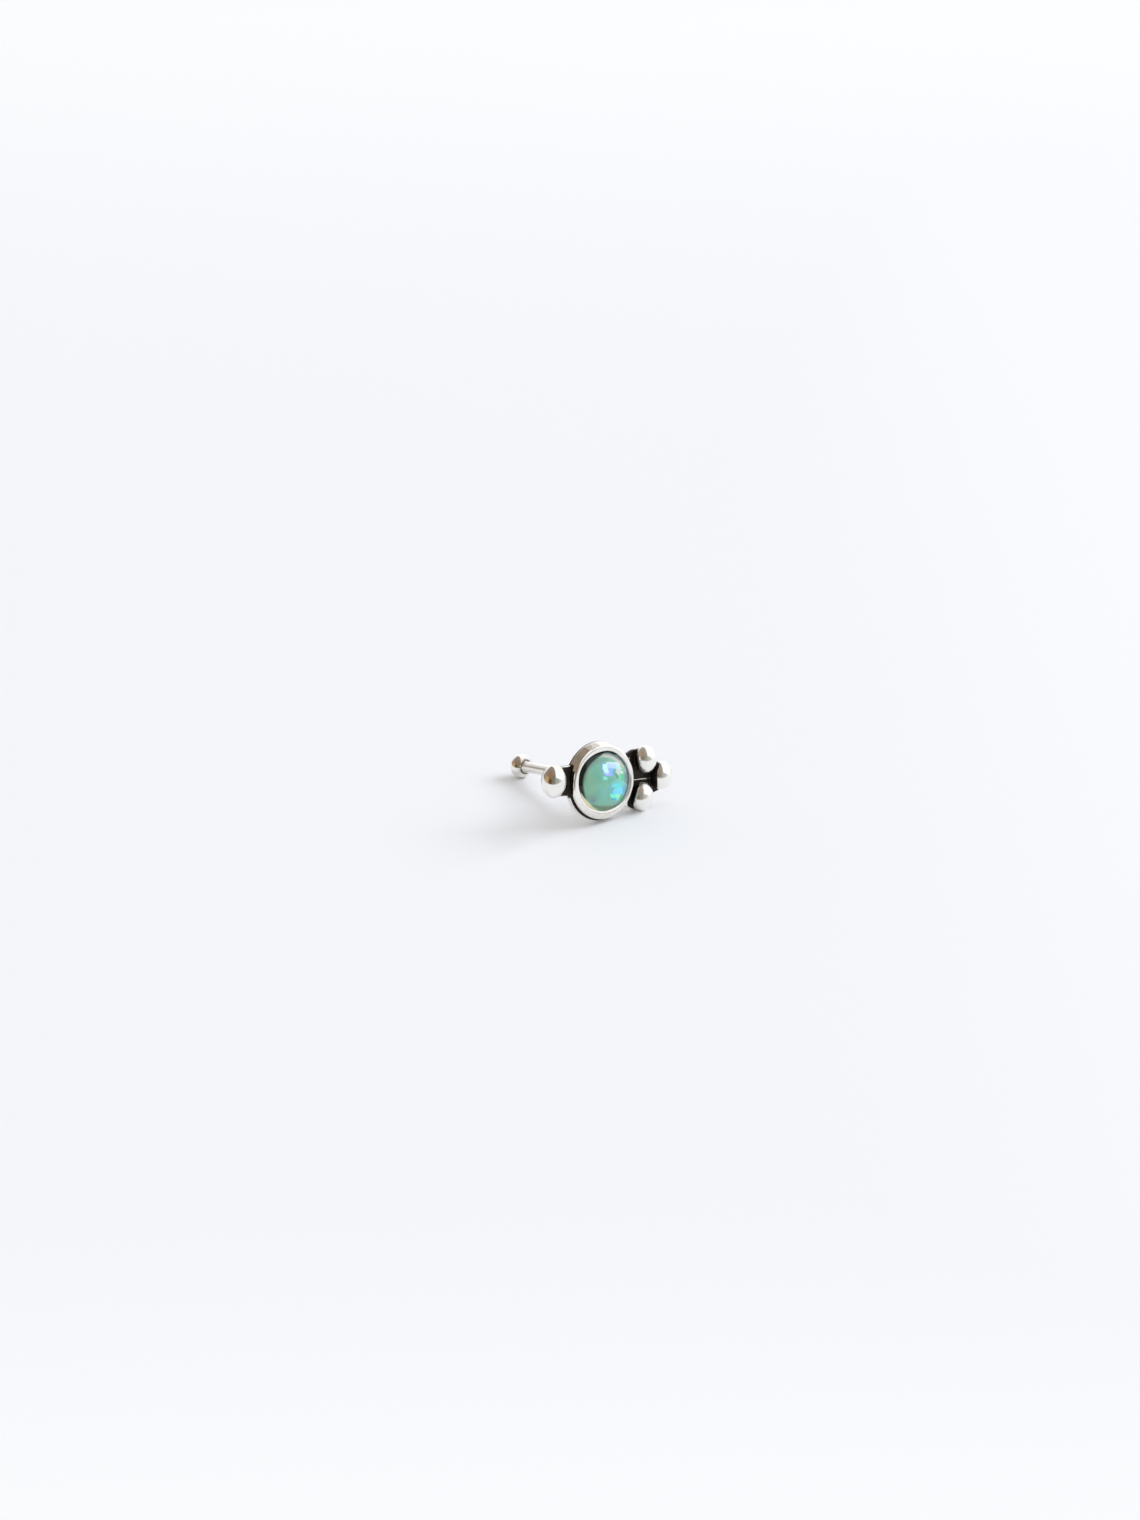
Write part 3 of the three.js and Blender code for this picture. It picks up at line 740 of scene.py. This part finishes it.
def attribute(tree, name, colour=False):
    n = tree.nodes.new("ShaderNodeAttribute")
    n.attribute_name = name
    return n.outputs["Color" if colour else "Fac"]


def millimetres(tree, scale=(1, 1, 1)):
    tc = tree.nodes.new("ShaderNodeTexCoord")
    mp = tree.nodes.new("ShaderNodeMapping")
    mp.inputs["Scale"].default_value = tuple(1000 * s for s in scale)
    tree.links.new(tc.outputs["Object"], mp.inputs["Vector"])
    return mp.outputs["Vector"]


def noise(tree, vector, scale, detail=2.0, rough=0.5, distortion=0.0):
    n = tree.nodes.new("ShaderNodeTexNoise")
    n.inputs["Scale"].default_value = scale
    n.inputs["Detail"].default_value = detail
    n.inputs["Roughness"].default_value = rough
    n.inputs["Distortion"].default_value = distortion
    tree.links.new(vector, n.inputs["Vector"])
    return n.outputs["Fac"]


def silver_material():
    m, t, b = material("oxidised_silver_and_shade")
    p = millimetres(t)
    coarse = noise(t, p, 3.2, 2.0)
    fine = noise(t, p, 17.0, 2.0, 0.6)
    # the black film colour paints real oxide and painted shade alike; the brown colour paints tarnish and the painted
    # shade on the granules' lower sides
    worn = math_node(t, "ADD", attribute(t, "patina_and_shade"), math_node(t, "MULTIPLY", math_node(t, "SUBTRACT", fine, 0.5), 0.5))
    black = ramp(t, worn, 0.34, 0.62)
    tarnish_and_shade = math_node(t, "MULTIPLY", attribute(t, "tarnish_and_shade"), ramp(t, coarse, 0.3, 0.7, 0.6, 1.0))
    bright = mix_colour(t, ramp(t, coarse, 0.35, 0.75), (0.95, 0.94, 0.92), (0.93, 0.905, 0.86))
    tarnished_and_shaded = mix_colour(t, tarnish_and_shade, bright, (0.55, 0.48, 0.40))
    film = mix_colour(t, ramp(t, fine, 0.35, 0.7), (0.020, 0.017, 0.016), (0.050, 0.043, 0.034))
    t.links.new(mix_colour(t, black, tarnished_and_shaded, film), b.inputs["Base Color"])
    t.links.new(math_node(t, "SUBTRACT", 1.0, math_node(t, "MULTIPLY", attribute(t, "satin"), 0.27)), b.inputs["Metallic"])
    rough = math_node(t, "ADD", ramp(t, coarse, 0.3, 0.8, 0.05, 0.11), math_node(t, "MULTIPLY", tarnish_and_shade, 0.08))
    rough = math_node(t, "ADD", rough, math_node(t, "MULTIPLY", black, 0.26))
    rough = math_node(t, "ADD", rough, math_node(t, "MULTIPLY", attribute(t, "satin"), 0.18))
    t.links.new(rough, b.inputs["Roughness"])
    scratches = noise(t, millimetres(t, (1.0, 9.0, 1.0)), 9.0, 2.0, 0.7)
    bump = t.nodes.new("ShaderNodeBump")
    bump.inputs["Strength"].default_value = 0.10
    bump.inputs["Distance"].default_value = 0.000012
    t.links.new(math_node(t, "ADD", scratches, fine), bump.inputs["Height"])
    t.links.new(bump.outputs["Normal"], b.inputs["Normal"])
    return m


def opal_material():
    m, t, b = material("opal")
    p = millimetres(t)
    clouds = noise(t, p, 0.9, 3.0, 0.55, 0.4)
    milky = noise(t, p, 3.4, 4.0, 0.6, 0.8)
    body = mix_colour(t, ramp(t, clouds, 0.34, 0.66), (0.185, 0.475, 0.35), (0.25, 0.52, 0.375))
    body = mix_colour(t, ramp(t, milky, 0.45, 0.8, 0.0, 0.45), body, (0.24, 0.56, 0.47))
    # small domains of colour, each with its own shade
    cells = t.nodes.new("ShaderNodeTexVoronoi")
    cells.inputs["Scale"].default_value = 2.6
    cells.inputs["Randomness"].default_value = 1.0
    wob = t.nodes.new("ShaderNodeVectorMath")
    wob.operation = "ADD"
    nz = t.nodes.new("ShaderNodeTexNoise")
    nz.inputs["Scale"].default_value = 2.2
    t.links.new(p, nz.inputs["Vector"])
    t.links.new(p, wob.inputs[0])
    sc = t.nodes.new("ShaderNodeVectorMath")
    sc.operation = "SCALE"
    sc.inputs["Scale"].default_value = 0.35
    t.links.new(nz.outputs["Color"], sc.inputs[0])
    t.links.new(sc.outputs[0], wob.inputs[1])
    t.links.new(wob.outputs[0], cells.inputs["Vector"])
    hue = t.nodes.new("ShaderNodeValToRGB")
    hue.color_ramp.interpolation = "CONSTANT"
    stops = [(0.0, (0.20, 0.50, 0.37)), (0.3, (0.19, 0.55, 0.44)), (0.5, (0.26, 0.55, 0.36)), (0.68, (0.16, 0.50, 0.47)), (0.84, (0.30, 0.56, 0.40))]
    hue.color_ramp.elements[0].color = (*stops[0][1], 1)
    hue.color_ramp.elements[1].position = stops[1][0]
    hue.color_ramp.elements[1].color = (*stops[1][1], 1)
    for pos, rgb in stops[2:]:
        e = hue.color_ramp.elements.new(pos)
        e.color = (*rgb, 1)
    sep = t.nodes.new("ShaderNodeSeparateColor")
    t.links.new(cells.outputs["Color"], sep.inputs[0])
    t.links.new(sep.outputs[0], hue.inputs[0])
    body = mix_colour(t, 0.22, body, hue.outputs["Color"])
    lit = mix_colour(t, attribute(t, "flash_amount"), body, attribute(t, "flash", True))
    # painted shade: the stone's rim is darkened at the left and top
    final = mix_colour(t, attribute(t, "rim_shade"), lit, (0.008, 0.012, 0.010))
    t.links.new(final, b.inputs["Base Color"])
    b.inputs["Roughness"].default_value = 0.04
    b.inputs["IOR"].default_value = 1.45
    return m


SILVER = silver_material()
front.data.materials.append(SILVER)
post.data.materials.append(SILVER)
stone.data.materials.append(opal_material())

for piece, cad_node, slot_name in (
    (front, "silver_setting", "silver"),
    (post, "silver_setting", "silver"),
    (stone, "opal_stone", "opal"),
):
    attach(piece, "root")
    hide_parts(cad_node)


# ------------------------------------------------------------------------------------------------
# floor, light and camera
# ------------------------------------------------------------------------------------------------
PALE = (0.91, 0.925, 0.955)


def floor():
    rings = [0.0, 0.006, 0.02, 0.06, 0.15, 0.4, 1.2, 3.0]
    n = 96
    vs, fs = [(0, 0, -0.000002)], []
    for q in rings[1:]:
        vs += [(q * math.cos(2 * math.pi * i / n), q * math.sin(2 * math.pi * i / n), -0.000002) for i in range(n)]
    for i in range(n):
        j = (i + 1) % n
        fs.append((0, 1 + i, 1 + j))
        for k_ in range(len(rings) - 2):
            a, c = 1 + k_ * n, 1 + (k_ + 1) * n
            fs.append((a + i, c + i, c + j, a + j))
    me = bpy.data.meshes.new("floor")
    me.from_pydata(vs, [], fs)
    o = bpy.data.objects.new("floor", me)
    bpy.context.scene.collection.objects.link(o)
    m, t, b = material("pale_floor")
    tc = t.nodes.new("ShaderNodeTexCoord")
    p = tc.outputs["Object"]
    # painted light: the paper's colour is a touch lighter away from the stud
    behind = ramp(t, dot_node(t, p, (0.6225, 0.7826, 0.0)), 0.045, 0.22)
    before = ramp(t, dot_node(t, p, (-0.6225, -0.7826, 0.0)), 0.034, 0.065)
    beside = ramp(t, dot_node(t, p, (0.7826, -0.6225, 0.0)), 0.008, 0.034)
    painted_brightening = math_node(t, "MAXIMUM", math_node(t, "MAXIMUM", behind, before), math_node(t, "MULTIPLY", beside, 0.6))
    t.links.new(mix_colour(t, painted_brightening, (0.925, 0.925, 0.928), (0.985, 0.980, 0.965)), b.inputs["Base Color"])
    b.inputs["Roughness"].default_value = 0.8
    b.inputs["Specular IOR Level"].default_value = 0.15
    me.materials.append(m)
    return o


floor()


def studio_world():
    """Soft light all round. It is white overhead and at +X; at -X and low in front it is dim and warm,
    as a room is beyond a lit table, and that shows in the polished silver."""
    world = bpy.data.worlds.new("studio")
    bpy.context.scene.world = world
    world.use_nodes = True
    t = world.node_tree
    t.nodes.clear()
    tc = t.nodes.new("ShaderNodeTexCoord")
    d = tc.outputs["Generated"]
    sp = t.nodes.new("ShaderNodeSeparateXYZ")
    t.links.new(d, sp.inputs[0])
    z = sp.outputs[2]
    streak = t.nodes.new("ShaderNodeTexNoise")
    streak.inputs["Scale"].default_value = 2.6
    streak.inputs["Detail"].default_value = 1.0
    mp = t.nodes.new("ShaderNodeMapping")
    mp.inputs["Scale"].default_value = (2.4, 2.4, 0.7)
    t.links.new(d, mp.inputs["Vector"])
    t.links.new(mp.outputs["Vector"], streak.inputs["Vector"])
    s = streak.outputs["Fac"]
    side = ramp(t, dot_node(t, d, (0.955, -0.2456, -0.1667)), -0.10, -0.03)
    over = ramp(t, dot_node(t, d, (0.442, 0.421, 0.791)), -0.03, 0.06)
    white = math_node(t, "MULTIPLY", side, over)
    # the dim side: mauve brown above, with a brown, a golden and a dark part low down
    dim = mix_colour(t, ramp(t, s, 0.36, 0.64), (0.25, 0.21, 0.165), (0.33, 0.27, 0.21))
    for toward, wide, narrow, rgb in (
        ((-0.77, -0.06, 0.64), 0.82, 0.97, (0.30, 0.175, 0.095)),
        ((-0.57, -0.69, 0.45), 0.86, 0.97, (0.21, 0.19, 0.14)),
        ((-0.94, 0.26, 0.16), 0.90, 0.975, (0.55, 0.38, 0.165)),
        ((-0.93, -0.31, 0.20), 0.925, 0.985, (0.11, 0.066, 0.028)),
        ((0.06, -0.96, 0.27), 0.84, 0.97, (0.38, 0.41, 0.37)),
        ((0.65, -0.75, 0.05), 0.82, 0.96, (0.62, 0.61, 0.61)),
        ((0.05, 0.93, 0.30), 0.90, 0.975, (0.85, 0.85, 0.84)),
    ):
        dim = mix_colour(t, ramp(t, dot_node(t, d, toward), wide, narrow), dim, rgb)
    sky = mix_colour(t, white, dim, (1.17, 1.19, 1.22))
    above = ramp(t, z, -0.005, 0.03)
    around = mix_colour(t, above, (0.86, 0.87, 0.89), sky)
    lp = t.nodes.new("ShaderNodeLightPath")
    # the room's fill light is even; only reflections show where it comes from
    shown = mix_colour(t, lp.outputs["Is Diffuse Ray"], around, (0.67, 0.67, 0.675))
    shown = mix_colour(t, lp.outputs["Is Camera Ray"], shown, PALE)
    bg = t.nodes.new("ShaderNodeBackground")
    t.links.new(shown, bg.inputs["Color"])
    bg.inputs["Strength"].default_value = 1.0
    out = t.nodes.new("ShaderNodeOutputWorld")
    t.links.new(bg.outputs[0], out.inputs["Surface"])


studio_world()


def window(name, direction, distance, wide, high_, radiance, colour=(1, 1, 1)):
    li = bpy.data.lights.new(name, "AREA")
    li.shape = "RECTANGLE"
    li.size, li.size_y = wide, high_
    li.energy = radiance * math.pi * wide * high_
    li.color = colour
    o = bpy.data.objects.new(name, li)
    bpy.context.scene.collection.objects.link(o)
    d = Vector(direction).normalized()
    o.location = d * distance
    o.rotation_mode = "QUATERNION"
    o.rotation_quaternion = d.to_track_quat("Z", "Y")
    o.visible_glossy = False
    return o


window("window_right", (0.824, -0.266, 0.63), 4.0, 3.0, 2.2, 4.6, (0.984, 1.033, 1.131))

FOCAL_PX, DISTANCE = 3150.0, 150.0  # for an image 1520 px high
AZ, EL = -38.495, 23.538
a_, e_ = math.radians(AZ), math.radians(EL)
back_ = Vector((math.sin(a_) * math.cos(e_), -math.cos(a_) * math.cos(e_), math.sin(e_)))
right_ = Vector((math.cos(a_), math.sin(a_), 0))
up_ = right_.cross(-back_)
# the stud's own origin lies a little right of and below the middle of the picture
aim = (-back_ - right_ * ((596.81 - 570.0) / FOCAL_PX) + up_ * ((780.36 - 760.0) / FOCAL_PX)).normalized()
cam = bpy.data.cameras.new("photo_camera")
cam.sensor_fit = "AUTO"
cam.sensor_width = 36.0
cam.lens = 36.0 * FOCAL_PX / 1520.0
cam.clip_start, cam.clip_end = 0.005, 10.0
cam_obj = bpy.data.objects.new("photo_camera", cam)
bpy.context.scene.collection.objects.link(cam_obj)
cam_obj.location = Vector(ORIGIN * MM) + back_ * (DISTANCE * MM)
cam_obj.rotation_mode = "QUATERNION"
cam_obj.rotation_quaternion = (-aim).to_track_quat("Z", "Y")
bpy.context.scene.camera = cam_obj

scene = bpy.context.scene
scene.view_settings.view_transform = "Standard"
scene.view_settings.look = "None"
scene.view_settings.exposure = 0.0
scene.view_settings.gamma = 1.0
